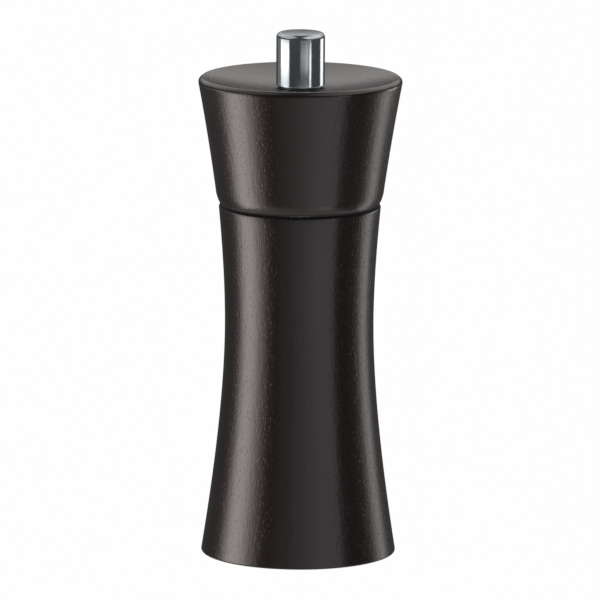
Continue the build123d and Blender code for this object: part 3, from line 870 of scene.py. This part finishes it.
def screw_set(name, node, circle_r):
    head_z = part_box(node)[0].z
    sizes = {"Circle Radius": circle_r, "Head Height": head_z}
    return stand_in(grow(name, outline_mesh(screw_outline), screws, screw_steel, sizes), node)


flange_screws = screw_set("flange_screws", "housing_screws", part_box("housing_screws")[1].y - screw_head_r)
plate_screws = screw_set("plate_screws", "driver_screws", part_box("driver_screws")[1].y - screw_head_r)

core_low, core_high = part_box("core_screw")
core_head_r = core_high.x
core_shank_r = 1.5 * mm
core_head_t = 1.7 * mm
core_outline = [
    (0, 0),
    (core_head_r, 0, 0.5 * mm),
    (core_head_r, core_head_t, 0.1 * mm),
    (core_shank_r, core_head_t),
]
core_outline += threaded_rows(core_shank_r, core_head_t + 0.5 * mm, core_high.z - core_low.z - 0.4 * mm)
core_outline += [(core_shank_r - 0.4 * mm, core_high.z - core_low.z), (0, core_high.z - core_low.z)]
core_sizes = {
    "Count": 1,
    "Circle Radius": 0.0,
    "Head Height": core_low.z,
    "Cross Length": 3.3 * mm,
    "Cross Depth": 1.0 * mm,
    "Thread Pitch": 0.5 * mm,
    "Thread Depth": 0.25 * mm,
}
machine_screw = grow("machine_screw", outline_mesh(core_outline), screws, screw_steel, core_sizes)
stand_in(machine_screw, "core_screw")
core_disc = ring("core_disc", "core_washer", 1.65 * mm, edge / 2, screw_steel)

# %% [markdown]
# ## Burrs, housing and plates
#
# The ceramic cone and ring, the moulded housing and core, and the two sheet-steel parts already have
# their true shape in the design, teeth and all, so they aren't made again. The burrs are pressed and
# fired ceramic, whose edges are crisp, and only get their finish. The moulded and stamped parts have
# small rounded edges, which catch the light. A copy of each is merged, and a Bevel modifier rounds its
# edges. The design's flat faces are made of long thin triangles, which fold over where the bevel narrows
# them, so each level face is taken out and filled anew inside its own rim. A Weighted Normal modifier
# then lets the large flat faces decide the shading next to the bevels.
#
# The filling has a known fault. It comes out right for the housing only. On the bridge it closes the
# hub's hole, and on the bridge, the plate and the core it leaves open edges. The lines printed below
# show it: for a sound piece, there are no open edges and the volume is the design's.

# %% Ceramic for the burrs
ceramic, tree, shader = new_finish(
    "burr_ceramic",
    (0.80, 0.77, 0.71),
    0.55,
    Subsurface_Weight=0.15,
    Subsurface_Radius=(1.0, 0.9, 0.7),
    Subsurface_Scale=0.4 * mm,
)
grit = noise(tree, grain_space(tree, 0.18 * mm), detail=4.0, roughness=0.65)
tint = noise(tree, grain_space(tree, 5 * mm), detail=3.0)
shade = put(tree, "ShaderNodeValToRGB", {"Fac": tint})
shade.color_ramp.elements[0].color = (0.74, 0.70, 0.62, 1)
shade.color_ramp.elements[1].color = (0.86, 0.84, 0.79, 1)
tree.links.new(shade.outputs[0], shader.inputs["Base Color"])
tree.links.new(spread(tree, grit, 0.3, 0.7, 0.48, 0.66), shader.inputs["Roughness"])
tree.links.new(bump(tree, grit, 0.02 * mm), shader.inputs["Normal"])

for burr in ("stator_ring", "rotor_cone"):
    for material_slot in frame["nodes"][burr].material_slots:
        material_slot.material = ceramic
print("burrs:", ceramic.name)


# %% Soft-edged copies of the moulded and stamped parts
def refill_flats(shape):
    """Fill each level face anew between its edges, so that no long thin triangles fold over there."""
    flats = {}
    for face in shape.faces:
        if abs(face.normal.z) > 0.9999:
            level = round(face.calc_center_median().z / (0.01 * mm))
            flats.setdefault((level, face.normal.z > 0), []).append(face)
    for (_, upward), faces in flats.items():
        inside = set(faces)
        rim = [
            edge
            for edge in {edge for face in faces for edge in face.edges}
            if sum(face in inside for face in edge.link_faces) == 1
        ]
        bmesh.ops.delete(shape, geom=faces, context="FACES_ONLY")
        bmesh.ops.triangle_fill(
            shape, use_beauty=True, edges=rim, normal=(0, 0, 1 if upward else -1)
        )
    loose = [edge for edge in shape.edges if not edge.link_faces]
    bmesh.ops.delete(shape, geom=loose, context="EDGES")
    loose = [vert for vert in shape.verts if not vert.link_edges]
    bmesh.ops.delete(shape, geom=loose, context="VERTS")
    bmesh.ops.recalc_face_normals(shape, faces=shape.faces)
    open_edges = sum(not edge.is_manifold for edge in shape.edges)
    print("open edges:", open_edges, "volume in mm3:", round(shape.calc_volume() / mm**3, 1))


def soft_edged(name, node, width, material):
    mesh = frame["nodes"][node].data.copy()
    shape = bmesh.new()
    shape.from_mesh(mesh)
    bmesh.ops.remove_doubles(shape, verts=shape.verts, dist=hair)
    shape.to_mesh(mesh)
    shape.free()
    mesh.materials.clear()
    mesh.materials.append(material)
    for leftover in ("custom_normal", "sharp_edge"):
        if leftover in mesh.attributes:
            mesh.attributes.remove(mesh.attributes[leftover])
    rough = bpy.data.objects.new(name, mesh)
    scene.collection.objects.link(rough)
    bevel = rough.modifiers.new("edges", "BEVEL")
    bevel.width = width
    bevel.segments = 2
    bevel.limit_method = "ANGLE"
    bevel.angle_limit = math.radians(40)
    finished = bpy.data.meshes.new_from_object(
        rough.evaluated_get(bpy.context.evaluated_depsgraph_get())
    )
    rough.modifiers.remove(bevel)
    shape = bmesh.new()
    shape.from_mesh(finished)
    refill_flats(shape)
    for face in shape.faces:
        face.smooth = True
    shape.to_mesh(finished)
    shape.free()
    finished.set_sharp_from_angle(angle=math.radians(50))
    rough.data = finished
    weighted = rough.modifiers.new("flat_shading", "WEIGHTED_NORMAL")
    weighted.keep_sharp = True
    rough.data = bpy.data.meshes.new_from_object(
        rough.evaluated_get(bpy.context.evaluated_depsgraph_get())
    )
    rough.modifiers.remove(weighted)
    print(name, "faces:", len(rough.data.polygons))
    return stand_in(rough, node)


moulded_housing = soft_edged("moulded_housing", "grinder_housing", 0.15 * mm, acetal)
moulded_core = soft_edged("moulded_core", "rotor_core", 0.08 * mm, acetal)
stamped_bridge = soft_edged("stamped_bridge", "bottom_bridge", 0.15 * mm, steel)
stamped_plate = soft_edged("stamped_plate", "driver_plate", 0.12 * mm, steel)

# %% [markdown]
# ## A pale studio
#
# The floor is plain and very pale. It glows a little and takes no part in reflections, because dark
# polished things show whatever stands round them, and here that should be the lamps alone. Seen from
# below it isn't there, so the grinder in the mill's foot can be looked at too.

# %% Floor and backdrop
floor_material = bpy.data.materials.new("pale_floor")
floor_material.use_nodes = True
tree = floor_material.node_tree
tree.nodes.remove(tree.nodes["Principled BSDF"])
glow = put(tree, "ShaderNodeEmission", {"Color": (1, 1, 1, 1), "Strength": 0.99})
clear = put(tree, "ShaderNodeBsdfTransparent")
under = put(tree, "ShaderNodeNewGeometry").outputs["Backfacing"]
either = put(tree, "ShaderNodeMixShader", {0: under, 1: glow.outputs[0], 2: clear.outputs[0]})
tree.links.new(either.outputs[0], tree.nodes["Material Output"].inputs["Surface"])

floor_half = 8.0
floor_mesh = bpy.data.meshes.new("floor")
floor_corners = [(-1, -1), (1, -1), (1, 1), (-1, 1)]
floor_mesh.from_pydata([(x * floor_half, y * floor_half, 0) for x, y in floor_corners], [], [(0, 1, 2, 3)])
floor_mesh.materials.append(floor_material)
floor = bpy.data.objects.new("floor", floor_mesh)
floor.location.z = -0.02 * mm  # a hair below the foot, so that the two faces never lie in one plane
scene.collection.objects.link(floor)
floor.visible_diffuse = False
floor.visible_glossy = False
floor.visible_transmission = False
floor.visible_shadow = False

world = bpy.data.worlds.new("studio")
scene.world = world
world.use_nodes = True
tree = world.node_tree
room = tree.nodes["Background"]
room.inputs["Color"].default_value = (0.062, 0.062, 0.064, 1)
paper = put(tree, "ShaderNodeBackground", {"Color": (0.99, 0.99, 0.99, 1)})
seen = put(tree, "ShaderNodeLightPath").outputs["Is Camera Ray"]
shown = put(tree, "ShaderNodeMixShader", {0: seen, 1: room.outputs[0], 2: paper.outputs[0]})
tree.links.new(shown.outputs[0], tree.nodes["World Output"].inputs["Surface"])
print("floor and backdrop are ready")

# %% [markdown]
# ## Lamps
#
# On a turned thing each lamp becomes an upright band, and its place round the mill decides where the
# band lies. So lamps are placed by angle: how far round from the camera's side, to the right as
# positive, and how far up.
#
# The bands come from cards that stand close to the mill, a quarter of a metre off. Each card is made of
# panels side by side, so that its edges can fade. The wood's cards end below the rim: the dish on top
# would show them as white patches otherwise. The knob has cards of its own, higher up, in three rows
# that grow dimmer downwards, as the wall's foot mirrors the dark dish. The cards reach below the table's
# height too, because a wall seen from a little above reflects what is a little below.
#
# Three large softboxes further off do the rest: one behind and above lights the dish, and one on each
# side lights the roundings. A table of light lies below, for the rounded foot of the head, and a lamp
# shines into the mill's foot alone, on the grinder there.
#
# Two tricks keep the joint between body and head clean. The head is hidden from reflections, or its own
# dark mirror image would lie over the body's shoulder. And light linking keeps the lamps above away from
# the body and the slide ring, as they would now shine through the head onto them.

# %% Lamps
middle = Vector((0, 0, 0.07))
near = 0.25  # of the cards from the axis
warm = (1.0, 0.97, 0.94)
cool = (0.95, 0.96, 1.0)


def set_size(lamp, width, height, radiance):
    """A lamp's energy follows its size, so that it looks equally bright however large it is."""
    lamp.size = width
    lamp.size_y = height
    lamp.energy = radiance * math.pi * width * height


def softbox(name, sideways, rise, radiance, distance=1.2, colour=warm):
    around = math.radians(sum(sideways) / 2)
    up = math.radians(sum(rise) / 2)
    toward = Vector(
        (math.sin(around) * math.cos(up), -math.cos(around) * math.cos(up), math.sin(up))
    )
    lamp = bpy.data.lights.new(name, "AREA")
    lamp.shape = "RECTANGLE"
    width = 2 * distance * math.tan(math.radians(sideways[1] - sideways[0]) / 2)
    height = 2 * distance * math.tan(math.radians(rise[1] - rise[0]) / 2)
    set_size(lamp, width, height, radiance)
    lamp.color = colour
    holder = bpy.data.objects.new(name, lamp)
    holder.location = middle + toward * distance
    holder.rotation_euler = toward.to_track_quat("Z", "Y").to_euler()
    holder.visible_camera = False
    scene.collection.objects.link(holder)
    return holder


def card(name, edges, radiances, z_low, z_high, colour=warm):
    """Panels side by side, close to the mill: edges in degrees, and a radiance for each panel."""
    around_middle = (z_low + z_high) / 2 - middle.z
    for number, radiance in enumerate(radiances):
        left, right = edges[number : number + 2]
        panel = softbox(f"{name}_{number}", (left, right), (0, 0), radiance, near, colour)
        panel.location.z += around_middle
        set_size(panel.data, panel.data.size, z_high - z_low, radiance)


left_edges = (-102, -97, -92, -88, -70, -65, -58, -49)
card("left_card", left_edges, (0.8, 2.0, 3.2, 4.4, 3.2, 2.0, 0.8), -0.10, 0.055)
card("right_card", (96, 102, 106, 120, 125, 130), (0.3, 0.8, 1.5, 0.8, 0.1), -0.10, 0.055)
card("front_card", (-28, -8, 8, 20, 46), (0.23, 0.44, 0.6, 0.76), -0.13, 0.06, cool)
card("front_strip", (46, 52), (0.85,), -0.13, 0.06, cool)
knob_rows = (  # heights, and what is left there of the left, front and narrow cards' light
    (0.060, 0.084, 0.45, 0.06, 0.8),
    (0.084, 0.088, 0.8, 0.25, 0.9),
    (0.088, 0.115, 1.0, 1.0, 1.0),
)
for row, (z_low, z_high, left, front, narrow) in enumerate(knob_rows):
    card(f"knob_left_{row}", (-135, -105, -56), (0.2, 3.2 * left), z_low, z_high)
    card(f"knob_front_{row}", (0, 8, 22, 38), [front * share for share in (0.5, 0.6, 0.95)], z_low, z_high)
    card(f"knob_strip_{row}", (43, 50), (3.1 * narrow,), z_low, z_high)
    card(f"knob_right_{row}", (108, 133), (2.4 * narrow,), z_low, z_high)
back_softbox = softbox("back_softbox", (135, 225), (14, 60), 0.66)
left_sky = softbox("left_sky", (-125, -55), (20, 75), 0.7)
right_sky = softbox("right_sky", (40, 125), (20, 75), 1.0)
table_side = 0.7
table_radiance = 0.52
light_table = softbox("light_table", (-45, 45), (-90, -90), table_radiance, 0.3)
set_size(light_table.data, table_side, table_side, table_radiance)
turned_head.visible_glossy = False
under_the_head = bpy.data.collections.new("under_the_head")
for piece in (turned_body, slide_liner):
    under_the_head.objects.link(piece)
for lamp in (back_softbox, left_sky, right_sky):
    lamp.light_linking.receiver_collection = under_the_head
for member in under_the_head.collection_objects:
    member.light_linking.link_state = "EXCLUDE"
foot_light = softbox("foot_light", (-70, -20), (-70, -40), 2.6, 0.6)
in_the_foot = bpy.data.collections.new("in_the_foot")
for piece in (stamped_bridge, flange_screws, machine_screw, core_disc, moulded_core, moulded_housing):
    in_the_foot.objects.link(piece)
for burr in ("stator_ring", "rotor_cone"):
    in_the_foot.objects.link(frame["nodes"][burr])
foot_light.light_linking.receiver_collection = in_the_foot

# %% [markdown]
# ## Camera
#
# A long lens from a little above, as a catalogue would show it: the sides stay nearly upright, and the
# dish just opens.

# %% Camera
camera_data = bpy.data.cameras.new("camera")
camera_data.lens = 504.4
camera_data.sensor_width = 36.0
camera = bpy.data.objects.new("camera", camera_data)
camera.location = (0.00018, -2.2008, 0.4732)
look_down = math.radians(10.434)
lean = math.radians(0.3)
camera.rotation_euler = (math.pi / 2 - look_down, 0, 0)
camera.rotation_euler.rotate_axis("Z", lean)
scene.collection.objects.link(camera)
scene.camera = camera
scene.view_settings.view_transform = "Standard"
print("camera at", [round(value, 3) for value in camera.location])
